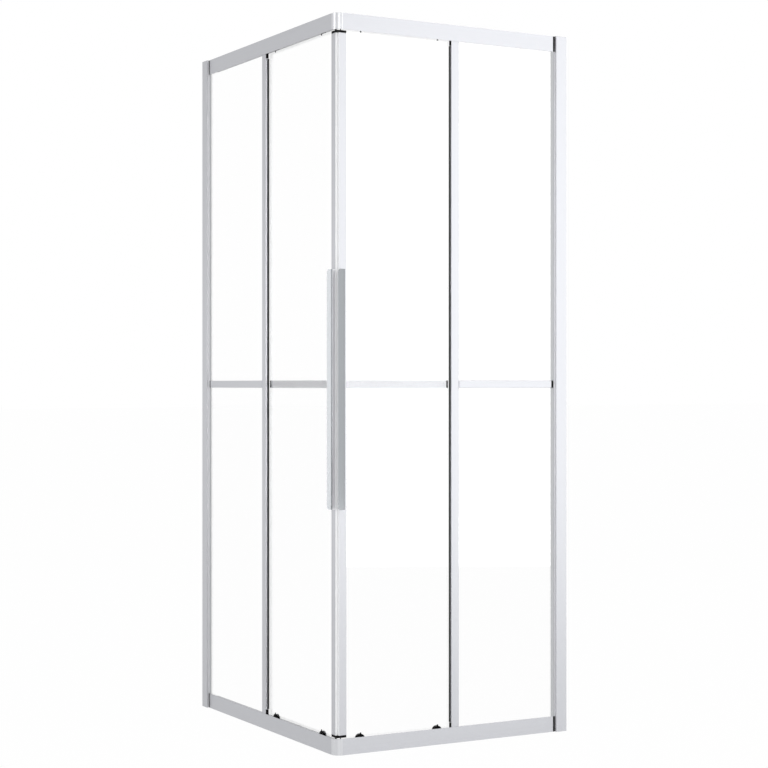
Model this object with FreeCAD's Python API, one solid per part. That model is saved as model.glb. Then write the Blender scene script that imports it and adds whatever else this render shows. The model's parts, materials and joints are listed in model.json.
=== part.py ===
import FreeCAD, Part
import os

os.makedirs("parts", exist_ok=True)

# Corner shower enclosure with two sliding doors. Lengths are in millimetres.
# Each side is modelled as the right one, in side coordinates: s runs along the wall of the enclosure from
# the virtual front corner, n runs inward from the outer plane of the rails, z runs up. The left side is
# its mirror image about the diagonal. The origin ends up at the centre of the bounding box, on the floor.

# Overall sizes
HEIGHT = 1800.0
LEFT_LENGTH = 785.0
RIGHT_LENGTH = 675.0

# General play between parts that meet, and the overrun of cutting tools
PLAY = 0.1
RUN_GAP = 0.3
OVERRUN = 5.0

# Rails
RAIL_HEIGHT = 40.0
RAIL_INNER_HEIGHT = 30.0
RAIL_DEPTH = 33.5
RAIL_WALL = 1.5
TRACK_LIP_OFFSET = 22.5
RIB_DROP_HEIGHT = 6.0
DIVIDER_OFFSET = 8.4
DIVIDER_WALL = 1.2
DIVIDER_HEIGHT = 10.0
RAIL_END_GAP = 6.0
END_CAP_RECESS_DEPTH = 1.0

# Corner connectors
CORNER_RADIUS = 20.0
CONNECTOR_WALL = 1.5
CONNECTOR_BASE_HEIGHT = 14.0
CONNECTOR_LEG_LENGTH = 28.0
CORNER_SCREW_RADIUS = 1.5
CORNER_SCREW_HEAD_RADIUS = 2.8
CORNER_SCREW_HEAD_HEIGHT = 1.8

# Wall posts and adjusting profiles
POST_WIDTH = 32.0
POST_PROUD_DEPTH = 6.0
POST_DEPTH = 16.3
POST_WALL = 1.6
POST_BACK_WALL = 2.0
POST_CAP_HEIGHT = 1.5
WALL_HOLE_RADIUS = 2.6
WALL_HOLE_END_DISTANCE = 150.0
PROFILE_WALL = 1.6
PROFILE_RECESS_DEPTH = 0.4
PROFILE_BACK_CLEARANCE = 8.0
POCKET_WALL = 1.4
POCKET_DEPTH = 3.0
OUTER_GASKET_WIDTH = 9.2
INNER_GASKET_WIDTH = 1.0
POST_SCREW_RADIUS = 1.9
POST_SCREW_HEAD_RADIUS = 3.6
POST_SCREW_HEAD_HEIGHT = 2.0
POST_SCREW_REACH_LENGTH = 4.0
POST_SCREW_END_DISTANCE = 200.0

# Glass
GLASS_THICKNESS = 5.0
FIXED_GLASS_OFFSET = 2.2
DOOR_GLASS_OFFSET = 10.0
FIXED_GLASS_TOP_PLAY = 1.5
DOOR_GLASS_TOP_DROP = 25.0

# Stiles of the fixed panes
FIXED_STILE_WIDTH = 22.0
FIXED_STILE_WEB_THICKNESS = 2.0
FIXED_STILE_INNER_WIDTH = 12.0
STILE_SEAL_OFFSET = 5.0
STILE_SEAL_THICKNESS = 2.4
STILE_SEAL_END_Z = 52.0
STILE_SEAL_GAP = 0.2
STILE_FOOT_TOP_GAP = 1.0

# Closing stiles of the doors
CLOSING_EDGE_DISTANCE = 15.0
CLOSING_STILE_OFFSET = 8.0
CLOSING_STILE_WIDTH = 20.0
CLOSING_STILE_DEPTH = 9.0
CLOSING_EDGE_WALL = 6.0
CLOSING_POCKET_PLAY = 0.2
CLOSING_PORT_RADIUS = 1.6
BEVEL_OFFSET = 1.6
MAGNET_GAP = 0.2
SEAL_WING_THICKNESS = 1.0
STILE_CAP_HEIGHT = 6.0
STILE_CAP_GAP = 1.0

# Rear edge profile of the doors
REAR_CLIP_LENGTH = 4.0
REAR_WEB_THICKNESS = 1.2
REAR_OUTER_WALL = 0.4
REAR_INNER_WALL = 0.8
REAR_END_CLEARANCE = 16.0

# Crossbars
BAR_HEIGHT = 18.8
BAR_THICKNESS = 3.0
BAR_CHAMFER = 0.6
BAR_CAP_LENGTH = 5.5
FIXED_BAR_END_GAP = 6.2
BAR_MID_Z = 899.5

# Handles
HANDLE_LENGTH = 584.0
HANDLE_MID_Z = 887.0
HANDLE_WALL = 1.8
HANDLE_FLANGE_WIDTH = 12.0
HANDLE_WEB_DEPTH = 10.0
HANDLE_REACH_DEPTH = 4.1
HANDLE_LIP_WIDTH = 21.5
HANDLE_BEND_RADIUS = 3.0
HANDLE_CORNER_RADIUS = 8.5
HANDLE_SCREW_END_DISTANCE = 22.0
HANDLE_SCREW_RADIUS = 1.5
HANDLE_SCREW_HEAD_RADIUS = 2.8
HANDLE_SCREW_HEAD_HEIGHT = 1.6

# Wheels
WHEEL_RADIUS = 10.0
WHEEL_ROOT_RADIUS = 7.7
WHEEL_FLANGE_WIDTH = 1.8
WHEEL_BORE_RADIUS = 2.05
AXLE_RADIUS = 2.0
AXLE_HEAD_RADIUS = 3.2
AXLE_HEAD_LENGTH = 0.9

# Roller carriers
HOUSING_RADIUS = 12.0
HOUSING_TOP_Z = 45.5
PLATE_THICKNESS = 1.3
PLATE_GROOVE = 0.75
GLASS_TO_HOUSING = 1.0
BUTTON_WIDTH = 3.4
BUTTON_NIB_HEIGHT = 3.5
BUTTON_TRAVEL_LENGTH = 4.0
BUTTON_CROSS_HEIGHT = 4.0
BUTTON_CROSS_GAP = 1.5
BUTTON_ARM_WIDTH = 8.0
BUTTON_ARM_THICKNESS = 2.5
AXLE_WEB_THICKNESS = 4.0
BRACKET_WIDTH = 16.0
BRACKET_BOTTOM_DROP = 35.0
BRACKET_TAB_LENGTH = 6.5
CLAMP_SCREW_RADIUS = 1.4
CLAMP_SCREW_SPACING = 12.0
CLAMP_SCREW_RISE_HEIGHT = 6.0
CLAMP_SCREW_HEAD_RADIUS = 2.4
CLAMP_SCREW_HEAD_HEIGHT = 1.5
CLAMP_HOLE_PLAY = 0.4

# Track stops
STOP_LENGTH = 12.0
STOP_HEIGHT = 14.0
STOP_GAP = 0.5

# Places along each side, from the corner to the fixed stile's near edge and to the front rollers,
# and from the fixed stile back to the rear rollers
LEFT_STILE_DISTANCE = 390.0
LEFT_FRONT_ROLLER_DISTANCE = 90.0
LEFT_REAR_ROLLER_INSET = 40.0
RIGHT_STILE_DISTANCE = 329.5
RIGHT_FRONT_ROLLER_DISTANCE = 75.0
RIGHT_REAR_ROLLER_INSET = 35.5

# Room between an open door and the mouth of the wall post
OPEN_DOOR_GAP = 11.0

SIDES = {
    "left": {
        "length": LEFT_LENGTH,
        "stile": LEFT_STILE_DISTANCE,
        "front": LEFT_FRONT_ROLLER_DISTANCE,
        "rear": LEFT_STILE_DISTANCE - LEFT_REAR_ROLLER_INSET,
    },
    "right": {
        "length": RIGHT_LENGTH,
        "stile": RIGHT_STILE_DISTANCE,
        "front": RIGHT_FRONT_ROLLER_DISTANCE,
        "rear": RIGHT_STILE_DISTANCE - RIGHT_REAR_ROLLER_INSET,
    },
}

V = FreeCAD.Vector
ALONG_S = V(1, 0, 0)
ALONG_N = V(0, 1, 0)
UP = V(0, 0, 1)


# Solid helpers, in side coordinates

def block(s, n, z):
    """A box between pairs of lowest and highest s, n and z."""
    return Part.makeBox(s[1] - s[0], n[1] - n[0], z[1] - z[0], V(s[0], n[0], z[0]))


def upright(outline, z):
    """An outline of (s, n) points carried up between two heights."""
    wire = Part.makePolygon([V(s, n, z[0]) for s, n in outline + outline[:1]])
    return Part.Face(wire).extrude(UP * (z[1] - z[0]))


def lengthwise(outline, s):
    """An outline of (n, z) points carried along s."""
    wire = Part.makePolygon([V(s[0], n, z) for n, z in outline + outline[:1]])
    return Part.Face(wire).extrude(ALONG_S * (s[1] - s[0]))


def rod(radius, centre, length, direction):
    """A round bar from a centre along a direction."""
    return Part.makeCylinder(radius, length, centre, direction)


def joined(first, *others):
    """One clean solid from several that overlap or touch."""
    return first.fuse(list(others)).removeSplitter()


def at_top(shape):
    """The mirror image about mid height."""
    return shape.mirror(V(0, 0, HEIGHT / 2), UP)


def placed(shape, side):
    """A shape of the right side moved to its side of the enclosure."""
    if side == "left":
        return shape.mirror(V(0, 0, 0), V(1, -1, 0))
    return shape


def save(node, shapes):
    """Write a node's solids, moved to the part's own origin."""
    outermost = max(HANDLE_REACH_DEPTH, POST_PROUD_DEPTH)
    shift = V((outermost - RIGHT_LENGTH) / 2, (outermost - LEFT_LENGTH) / 2, 0)
    solids = []
    for shape in shapes:
        moved = shape.copy()
        moved.translate(shift)
        solids.extend(moved.Solids)
    for solid in solids:
        if not solid.isValid():
            print("invalid solid in", node)
    Part.makeCompound(solids).exportStep("parts/" + node + ".step")
    print(node, len(solids), "solids", round(sum(s.Volume for s in solids), 1), "mm3")


# Places that several pieces share

LIP_UNDER_Z = RAIL_INNER_HEIGHT - RAIL_WALL
RIB_END_Z = RAIL_INNER_HEIGHT - RIB_DROP_HEIGHT
RIB_INNER_N = TRACK_LIP_OFFSET + RAIL_WALL
TRACK_WALL_N = RAIL_DEPTH - RAIL_WALL
WHEEL_Z = RIB_END_Z - RUN_GAP - WHEEL_ROOT_RADIUS
GROOVE_N = (TRACK_LIP_OFFSET - RUN_GAP, RIB_INNER_N + RUN_GAP)
WHEEL_N = (GROOVE_N[0] - WHEEL_FLANGE_WIDTH, GROOVE_N[1] + WHEEL_FLANGE_WIDTH)
CARRIER_N = WHEEL_N[0] - RUN_GAP
FIXED_GLASS = (FIXED_GLASS_OFFSET, FIXED_GLASS_OFFSET + GLASS_THICKNESS)
DOOR_GLASS = (DOOR_GLASS_OFFSET, DOOR_GLASS_OFFSET + GLASS_THICKNESS)
DOOR_GLASS_Z = (RAIL_INNER_HEIGHT, HEIGHT - DOOR_GLASS_TOP_DROP)
POCKET_N = (FIXED_GLASS[0] - POCKET_WALL, FIXED_GLASS[1] + POCKET_WALL)
STILE_N = (FIXED_GLASS[0] - POCKET_WALL, DIVIDER_OFFSET)
BETWEEN_RAILS = (RAIL_HEIGHT, HEIGHT - RAIL_HEIGHT)
POST_N = (-POST_PROUD_DEPTH, POST_DEPTH - POST_PROUD_DEPTH)
POST_TOP_Z = HEIGHT - POST_CAP_HEIGHT
PROFILE_N = (POST_N[0] + POST_WALL + PLAY, POST_N[1] - POST_WALL - PLAY)
STILE_CAP_Z = RAIL_HEIGHT + STILE_CAP_GAP
CLOSING_STILE_Z = (STILE_CAP_Z + STILE_CAP_HEIGHT, HEIGHT - STILE_CAP_Z - STILE_CAP_HEIGHT)
CLOSING_FAR_S = CLOSING_EDGE_DISTANCE + CLOSING_STILE_WIDTH
CLOSING_POCKET_S = CLOSING_EDGE_DISTANCE + CLOSING_EDGE_WALL
BAR_Z = (BAR_MID_Z - BAR_HEIGHT / 2, BAR_MID_Z + BAR_HEIGHT / 2)


def post_mouth(side):
    """Where the wall post opens towards the corner."""
    return SIDES[side]["length"] - POST_WIDTH


def profile_face(side):
    """The corner-side face of the adjusting profile, where the fixed pane ends."""
    return post_mouth(side) + PROFILE_RECESS_DEPTH


def rail_end(side):
    """Where the rails end."""
    return post_mouth(side) - RAIL_END_GAP


def door_rear(side):
    """The rear edge of the door pane, which lies behind the fixed stile when closed."""
    return SIDES[side]["stile"] + FIXED_STILE_WIDTH


def door_travel(side):
    """How far the door slides open before its rear edge reaches the wall post."""
    return post_mouth(side) - OPEN_DOOR_GAP - door_rear(side)


def roller_places(side):
    """The rollers' places along the side, with their names."""
    return {"front": SIDES[side]["front"], "rear": SIDES[side]["rear"]}


def corner_screw_place(z):
    """The corner screws' centre line in a connector leg, at a height."""
    return V(CORNER_RADIUS + CONNECTOR_LEG_LENGTH / 2, sum(leg_n()) / 2, z)


def leg_n():
    """The space across the outer channel that a connector leg fills."""
    return (RAIL_WALL + PLAY, DIVIDER_OFFSET - PLAY)


# Frame

def rail(side):
    """The bottom rail: a tall outer wall, a divider, and a hooked track for the wheels."""
    outline = [
        (0, 0),
        (RAIL_DEPTH, 0),
        (RAIL_DEPTH, RAIL_INNER_HEIGHT),
        (TRACK_LIP_OFFSET, RAIL_INNER_HEIGHT),
        (TRACK_LIP_OFFSET, RIB_END_Z),
        (RIB_INNER_N, RIB_END_Z),
        (RIB_INNER_N, LIP_UNDER_Z),
        (TRACK_WALL_N, LIP_UNDER_Z),
        (TRACK_WALL_N, RAIL_WALL),
        (DIVIDER_OFFSET + DIVIDER_WALL, RAIL_WALL),
        (DIVIDER_OFFSET + DIVIDER_WALL, DIVIDER_HEIGHT),
        (DIVIDER_OFFSET, DIVIDER_HEIGHT),
        (DIVIDER_OFFSET, RAIL_WALL),
        (RAIL_WALL, RAIL_WALL),
        (RAIL_WALL, RAIL_HEIGHT),
        (0, RAIL_HEIGHT),
    ]
    body = lengthwise(outline, (CORNER_RADIUS, rail_end(side)))
    far = RAIL_DEPTH + OVERRUN
    mitre = upright([(CORNER_RADIUS, CORNER_RADIUS), (far, far), (CORNER_RADIUS, far)], (-OVERRUN, HEIGHT))
    hole = rod(CORNER_SCREW_RADIUS, corner_screw_place(-OVERRUN), CONNECTOR_BASE_HEIGHT, UP)
    return body.cut([mitre, hole])


def quarter(radius, z):
    """A quarter disc that rounds the corner, between two heights."""
    centre = V(CORNER_RADIUS, CORNER_RADIUS, z[0])
    disc = Part.makeCylinder(radius, z[1] - z[0], centre, UP, 90)
    disc.rotate(centre, UP, 180)
    return disc


def corner_connector():
    """The bottom corner piece: rounded shell, solid base and a leg for each rail."""
    hollow_z = (CONNECTOR_BASE_HEIGHT, RAIL_HEIGHT + OVERRUN)
    shell = quarter(CORNER_RADIUS, (0, RAIL_HEIGHT)).cut(quarter(CORNER_RADIUS - CONNECTOR_WALL, hollow_z))
    leg_s = (CORNER_RADIUS - PLAY, CORNER_RADIUS + CONNECTOR_LEG_LENGTH)
    leg = block(leg_s, leg_n(), (RAIL_WALL, CONNECTOR_BASE_HEIGHT))
    body = joined(shell, leg, placed(leg, "left"))
    hole = rod(CORNER_SCREW_RADIUS, corner_screw_place(0), CONNECTOR_BASE_HEIGHT + OVERRUN, UP)
    return body.cut([hole, placed(hole, "left")])


def corner_screw():
    """A screw down through a connector leg into the rail's base."""
    place = corner_screw_place(0)
    shank = rod(CORNER_SCREW_RADIUS, place + UP * PLAY, CONNECTOR_BASE_HEIGHT, UP)
    head = rod(CORNER_SCREW_HEAD_RADIUS, place + UP * CONNECTOR_BASE_HEIGHT, CORNER_SCREW_HEAD_HEIGHT, UP)
    return joined(shank, head)


def wall_post(side):
    """A channel against the wall, open towards the corner, drilled for the wall and profile screws."""
    length = SIDES[side]["length"]
    mouth = post_mouth(side)
    outline = [
        (length, POST_N[0]),
        (length, POST_N[1]),
        (mouth, POST_N[1]),
        (mouth, POST_N[1] - POST_WALL),
        (length - POST_BACK_WALL, POST_N[1] - POST_WALL),
        (length - POST_BACK_WALL, POST_N[0] + POST_WALL),
        (mouth, POST_N[0] + POST_WALL),
        (mouth, POST_N[0]),
    ]
    holes = []
    start = V(length - POST_BACK_WALL - OVERRUN, sum(POST_N) / 2, HEIGHT / 2)
    spacing = HEIGHT / 2 - WALL_HOLE_END_DISTANCE
    for step in (-1, 0, 1):
        centre = start + UP * (step * spacing)
        holes.append(rod(WALL_HOLE_RADIUS, centre, POST_BACK_WALL + 2 * OVERRUN, ALONG_S))
    return upright(outline, (0, POST_TOP_Z)).cut(holes + post_screw_rods(side, POST_SCREW_RADIUS))


def post_screw_rods(side, radius):
    """Round bars through the inner legs of the post and the profile, one for each screw."""
    rods = []
    reach = POST_WALL + PLAY + PROFILE_WALL + POST_SCREW_REACH_LENGTH
    spacing = HEIGHT / 2 - POST_SCREW_END_DISTANCE
    for step in (-1, 0, 1):
        centre = V(post_mouth(side) + POST_WIDTH / 2, POST_N[1], HEIGHT / 2 + step * spacing)
        rods.append(rod(radius, centre, reach, -ALONG_N))
    return rods


def post_screws(side):
    """The pan-head screws that hold the adjusting profile in the post."""
    screws = []
    for shank in post_screw_rods(side, POST_SCREW_RADIUS):
        centre = V(shank.CenterOfMass.x, POST_N[1], shank.CenterOfMass.z)
        head = rod(POST_SCREW_HEAD_RADIUS, centre, POST_SCREW_HEAD_HEIGHT, ALONG_N)
        screws.append(joined(shank, head))
    return screws


def post_cap(side):
    """The plate that closes the top of a wall post."""
    return block((post_mouth(side), SIDES[side]["length"]), POST_N, (POST_TOP_Z, HEIGHT))


def adjusting_profile(side):
    """The profile that slides in the post, with a pocket for the fixed pane between the rails."""
    face = profile_face(side)
    back = SIDES[side]["length"] - PROFILE_BACK_CLEARANCE
    z = (0, POST_TOP_Z)
    web = block((face, face + PROFILE_WALL), PROFILE_N, z)
    outer_leg = block((face, back), (PROFILE_N[0], PROFILE_N[0] + PROFILE_WALL), z)
    inner_leg = block((face, back), (PROFILE_N[1] - PROFILE_WALL, PROFILE_N[1]), z)
    pocket_s = (face - POCKET_DEPTH, face + PROFILE_WALL)
    outer_lip = block(pocket_s, (POCKET_N[0], FIXED_GLASS[0]), BETWEEN_RAILS)
    inner_lip = block(pocket_s, (FIXED_GLASS[1], POCKET_N[1]), BETWEEN_RAILS)
    body = joined(web, outer_leg, inner_leg, outer_lip, inner_lip)
    return body.cut(post_screw_rods(side, POST_SCREW_RADIUS))


def glazing_gaskets(side):
    """A broad strip on the pane's outer face, in two lengths around the crossbar, and a slim inner one."""
    edge = profile_face(side) - POCKET_DEPTH
    outer_s = (edge - OUTER_GASKET_WIDTH, edge)
    outer_n = (POCKET_N[0] + PLAY, FIXED_GLASS[0])
    below = block(outer_s, outer_n, (BETWEEN_RAILS[0], BAR_Z[0]))
    above = block(outer_s, outer_n, (BAR_Z[1], BETWEEN_RAILS[1]))
    inner_s = (edge - INNER_GASKET_WIDTH, edge)
    inner = block(inner_s, (FIXED_GLASS[1], POCKET_N[1] - PLAY), BETWEEN_RAILS)
    return [below, above, inner]


def rail_end_cap(side):
    """The plug between the bottom rail and the post, set back a little, with a slot for the fixed pane."""
    slot = (FIXED_GLASS[0] - PLAY, FIXED_GLASS[1] + PLAY)
    outline = [
        (END_CAP_RECESS_DEPTH, 0),
        (RAIL_DEPTH, 0),
        (RAIL_DEPTH, RAIL_INNER_HEIGHT),
        (slot[1], RAIL_INNER_HEIGHT),
        (slot[1], RAIL_WALL),
        (slot[0], RAIL_WALL),
        (slot[0], RAIL_HEIGHT),
        (END_CAP_RECESS_DEPTH, RAIL_HEIGHT),
    ]
    return lengthwise(outline, (rail_end(side), post_mouth(side)))


def fixed_glass(side):
    """The fixed pane, from its stile to the adjusting profile."""
    s = (SIDES[side]["stile"] + FIXED_STILE_WEB_THICKNESS, profile_face(side))
    return block(s, FIXED_GLASS, (RAIL_WALL, HEIGHT - RAIL_WALL - FIXED_GLASS_TOP_PLAY))


def fixed_stile(side):
    """The aluminium edge of the fixed pane."""
    near = SIDES[side]["stile"]
    far = near + FIXED_STILE_WIDTH
    outline = [
        (near, STILE_N[0]),
        (far, STILE_N[0]),
        (far, FIXED_GLASS[0]),
        (near + FIXED_STILE_WEB_THICKNESS, FIXED_GLASS[0]),
        (near + FIXED_STILE_WEB_THICKNESS, FIXED_GLASS[1]),
        (near + FIXED_STILE_INNER_WIDTH, FIXED_GLASS[1]),
        (near + FIXED_STILE_INNER_WIDTH, STILE_N[1]),
        (near, STILE_N[1]),
    ]
    return upright(outline, BETWEEN_RAILS)


def stile_seal(side):
    """The lip seal between the fixed stile and the door pane."""
    near = SIDES[side]["stile"]
    tip = DOOR_GLASS[0] - STILE_SEAL_GAP
    outline = [
        (near, STILE_SEAL_OFFSET),
        (near, STILE_N[1]),
        (near - STILE_SEAL_THICKNESS / 2, tip),
        (near - STILE_SEAL_THICKNESS, tip),
        (near - STILE_SEAL_THICKNESS, STILE_SEAL_OFFSET + STILE_SEAL_THICKNESS / 2),
    ]
    return upright(outline, (STILE_SEAL_END_Z, HEIGHT - STILE_SEAL_END_Z))


def stile_foot(side):
    """The lower block that stands in the rail and holds an end of the fixed stile."""
    near = SIDES[side]["stile"]
    z = (RAIL_WALL, STILE_SEAL_END_Z - STILE_FOOT_TOP_GAP)
    return block((near - STILE_SEAL_THICKNESS, near), leg_n(), z)


def crossbar(s, n, mount_side):
    """A flat bar on a pane, with its two free edges chamfered. mount_side is +1 if the glass is inward."""
    glass_face, free_face = (n[1], n[0]) if mount_side > 0 else (n[0], n[1])
    slope = free_face + mount_side * BAR_CHAMFER
    outline = [
        (glass_face, BAR_Z[0]),
        (slope, BAR_Z[0]),
        (free_face, BAR_Z[0] + BAR_CHAMFER),
        (free_face, BAR_Z[1] - BAR_CHAMFER),
        (slope, BAR_Z[1]),
        (glass_face, BAR_Z[1]),
    ]
    return lengthwise(outline, s)


def fixed_bar_reach(side):
    """The ends of the fixed pane's crossbar, its cap included."""
    return (door_rear(side), post_mouth(side) - FIXED_BAR_END_GAP)


def fixed_bar_n():
    """The crossbar of a fixed pane lies on its outer face."""
    return (FIXED_GLASS[0] - BAR_THICKNESS, FIXED_GLASS[0])


def fixed_crossbar(side):
    """The crossbar of the fixed pane."""
    near, far = fixed_bar_reach(side)
    return crossbar((near, far - BAR_CAP_LENGTH), fixed_bar_n(), 1)


def fixed_crossbar_cap(side):
    """The end cap of the fixed pane's crossbar."""
    far = fixed_bar_reach(side)[1]
    return crossbar((far - BAR_CAP_LENGTH, far), fixed_bar_n(), 1)


def track_stops(side):
    """Two blocks behind the rib of the top track, which stop the top wheels."""
    n = (RIB_INNER_N, TRACK_WALL_N)
    z = (LIP_UNDER_Z - STOP_HEIGHT, LIP_UNDER_Z)
    reach = WHEEL_RADIUS + STOP_GAP
    front = SIDES[side]["front"] - reach
    rear = SIDES[side]["rear"] + door_travel(side) + reach
    stops = [block((front - STOP_LENGTH, front), n, z), block((rear, rear + STOP_LENGTH), n, z)]
    return [at_top(stop) for stop in stops]


# Doors

def closing_outline():
    """The closing stile's section: a pocket for the pane and a bevel along the corner's diagonal."""
    inner = CLOSING_STILE_OFFSET + CLOSING_STILE_DEPTH
    pocket = (DOOR_GLASS[0] - CLOSING_POCKET_PLAY, DOOR_GLASS[1] + CLOSING_POCKET_PLAY)
    return [
        (CLOSING_EDGE_DISTANCE, CLOSING_STILE_OFFSET),
        (CLOSING_FAR_S, CLOSING_STILE_OFFSET),
        (CLOSING_FAR_S, pocket[0]),
        (CLOSING_POCKET_S, pocket[0]),
        (CLOSING_POCKET_S, pocket[1]),
        (CLOSING_FAR_S, pocket[1]),
        (CLOSING_FAR_S, inner),
        (inner + BEVEL_OFFSET, inner),
        (CLOSING_EDGE_DISTANCE, CLOSING_EDGE_DISTANCE - BEVEL_OFFSET),
    ]


def closing_stile(side):
    """The door's closing stile, with a screw port along its solid edge."""
    port_s = (CLOSING_EDGE_DISTANCE + CLOSING_POCKET_S) / 2
    port_n = (CLOSING_STILE_OFFSET + port_s - BEVEL_OFFSET) / 2
    port = rod(CLOSING_PORT_RADIUS, V(port_s, port_n, 0), HEIGHT, UP)
    return upright(closing_outline(), CLOSING_STILE_Z).cut([port] + handle_screw_rods(side))


def magnet_seal():
    """The magnetic strip: a wing over the stile's end and a bevel that meets the other door's strip."""
    inner = CLOSING_STILE_OFFSET + CLOSING_STILE_DEPTH
    wing_s = CLOSING_EDGE_DISTANCE - SEAL_WING_THICKNESS
    outline = [
        (CLOSING_EDGE_DISTANCE, CLOSING_STILE_OFFSET),
        (CLOSING_EDGE_DISTANCE, CLOSING_EDGE_DISTANCE - BEVEL_OFFSET),
        (inner + BEVEL_OFFSET, inner),
        (inner + MAGNET_GAP, inner),
        (wing_s, wing_s - MAGNET_GAP),
        (wing_s, CLOSING_STILE_OFFSET),
    ]
    return upright(outline, CLOSING_STILE_Z)


def door_bar_reach(side):
    """The ends of the door's crossbar, its cap included."""
    return (CLOSING_FAR_S, SIDES[side]["stile"] - STILE_SEAL_THICKNESS)


def door_bar_n():
    """The crossbar of a door lies on its inner face."""
    return (DOOR_GLASS[1], DOOR_GLASS[1] + BAR_THICKNESS)


def door_crossbar(side):
    """The door's crossbar."""
    near, far = door_bar_reach(side)
    return crossbar((near, far - BAR_CAP_LENGTH), door_bar_n(), -1)


def stile_cap_outline():
    """The closing stile's section, filled out to the diagonal, where both doors' caps meet."""
    inner = CLOSING_STILE_OFFSET + CLOSING_STILE_DEPTH
    tip = (CLOSING_STILE_OFFSET + MAGNET_GAP, CLOSING_STILE_OFFSET)
    return [tip] + closing_outline()[1:-2] + [(inner + MAGNET_GAP, inner)]


def door_caps(side):
    """The end caps of the closing stile and of the crossbar."""
    stile_cap = upright(stile_cap_outline(), (STILE_CAP_Z, STILE_CAP_Z + STILE_CAP_HEIGHT))
    far = door_bar_reach(side)[1]
    bar_cap = crossbar((far - BAR_CAP_LENGTH, far), door_bar_n(), -1)
    return [stile_cap, at_top(stile_cap), bar_cap]


def door_glass(side):
    """The door pane, drilled for the clamp screws of its rollers."""
    pane = block((CLOSING_POCKET_S, door_rear(side)), DOOR_GLASS, DOOR_GLASS_Z)
    return pane.cut(clamp_rods(side, CLAMP_SCREW_RADIUS + CLAMP_HOLE_PLAY))


def rear_profile(side):
    """The slim clip along the pane's rear edge, clear of the roller brackets."""
    edge = door_rear(side)
    n = (DOOR_GLASS[0] - REAR_OUTER_WALL, DOOR_GLASS[1] + REAR_INNER_WALL)
    outline = [
        (edge - REAR_CLIP_LENGTH, n[0]),
        (edge + REAR_WEB_THICKNESS, n[0]),
        (edge + REAR_WEB_THICKNESS, n[1]),
        (edge - REAR_CLIP_LENGTH, n[1]),
        (edge - REAR_CLIP_LENGTH, DOOR_GLASS[1]),
        (edge, DOOR_GLASS[1]),
        (edge, DOOR_GLASS[0]),
        (edge - REAR_CLIP_LENGTH, DOOR_GLASS[0]),
    ]
    return upright(outline, (RAIL_HEIGHT + REAR_END_CLEARANCE, HEIGHT - RAIL_HEIGHT - REAR_END_CLEARANCE))


def turned(shape, side):
    """Both doors carry the same extrusion, so the right one has its web away from the corner."""
    if side == "right":
        return shape.mirror(V(CLOSING_EDGE_DISTANCE + HANDLE_FLANGE_WIDTH / 2, 0, 0), ALONG_S)
    return shape


def handle(side):
    """The hooked pull: a flange on the stile, a web outwards and a lip that turns back over the flange."""
    z = (HANDLE_MID_Z - HANDLE_LENGTH / 2, HANDLE_MID_Z + HANDLE_LENGTH / 2)
    edge = CLOSING_EDGE_DISTANCE
    base = CLOSING_STILE_OFFSET
    bend_n = base - HANDLE_WEB_DEPTH
    tip = V(edge + HANDLE_LIP_WIDTH, -HANDLE_REACH_DEPTH, 0)
    lip = tip - V(edge, bend_n, 0)
    lip_length = lip.Length
    lip.normalize()
    inward = V(-lip.y, lip.x, 0) * HANDLE_WALL
    slope = lip.y / lip.x
    inner_bend = bend_n + slope * HANDLE_WALL + HANDLE_WALL / lip.x
    outline = [
        (edge + HANDLE_FLANGE_WIDTH, base),
        (edge, base),
        (edge, bend_n),
        (tip.x, tip.y),
        (tip.x + inward.x, tip.y + inward.y),
        (edge + HANDLE_WALL, inner_bend),
        (edge + HANDLE_WALL, base - HANDLE_WALL),
        (edge + HANDLE_FLANGE_WIDTH, base - HANDLE_WALL),
    ]
    body = upright(outline, z)
    body = body.makeFillet(HANDLE_BEND_RADIUS, upright_edges(body, [outline[2]]))
    body = body.makeFillet(HANDLE_BEND_RADIUS - HANDLE_WALL, upright_edges(body, [outline[5]]))
    corner = min(HANDLE_CORNER_RADIUS, lip_length - HANDLE_BEND_RADIUS)
    body = body.makeFillet(corner, end_edges(body, outline[3], outline[4]))
    return turned(body, side).cut(handle_screw_rods(side))


def upright_edges(shape, points):
    """The vertical edges of a shape that stand at given (s, n) points."""
    found = []
    for edge in shape.Edges:
        start, end = edge.Vertexes[0].Point, edge.Vertexes[-1].Point
        for s, n in points:
            near = max(abs(start.x - s), abs(start.y - n), abs(end.x - s), abs(end.y - n)) < PLAY / 2
            if near and abs(start.z - end.z) > PLAY:
                found.append(edge)
    return found


def end_edges(shape, first, second):
    """The short horizontal edges between two (s, n) points, at both ends of an upright shape."""
    found = []
    for edge in shape.Edges:
        if len(edge.Vertexes) < 2:
            continue
        ends = sorted((v.Point.x, v.Point.y) for v in edge.Vertexes)
        wanted = sorted([first, second])
        gap = max(abs(a - b) for end, want in zip(ends, wanted) for a, b in zip(end, want))
        if gap < PLAY / 2 and abs(edge.Vertexes[0].Point.z - edge.Vertexes[1].Point.z) < PLAY / 2:
            found.append(edge)
    return found


def handle_screw_rods(side):
    """Round bars through the handle's flange into the stile, one for each screw."""
    rods = []
    screw_s = CLOSING_EDGE_DISTANCE + (HANDLE_WALL + HANDLE_FLANGE_WIDTH) / 2
    spacing = HANDLE_LENGTH / 2 - HANDLE_SCREW_END_DISTANCE
    for step in (-1, 0, 1):
        centre = V(screw_s, CLOSING_STILE_OFFSET - HANDLE_WALL, HANDLE_MID_Z + step * spacing)
        shank = rod(HANDLE_SCREW_RADIUS, centre, HANDLE_WALL + handle_screw_bite(), ALONG_N)
        rods.append(turned(shank, side))
    return rods


def handle_screw_bite():
    """How far a handle screw goes into the stile's outer wall, short of the pane."""
    return DOOR_GLASS[0] - CLOSING_POCKET_PLAY - CLOSING_STILE_OFFSET


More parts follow.
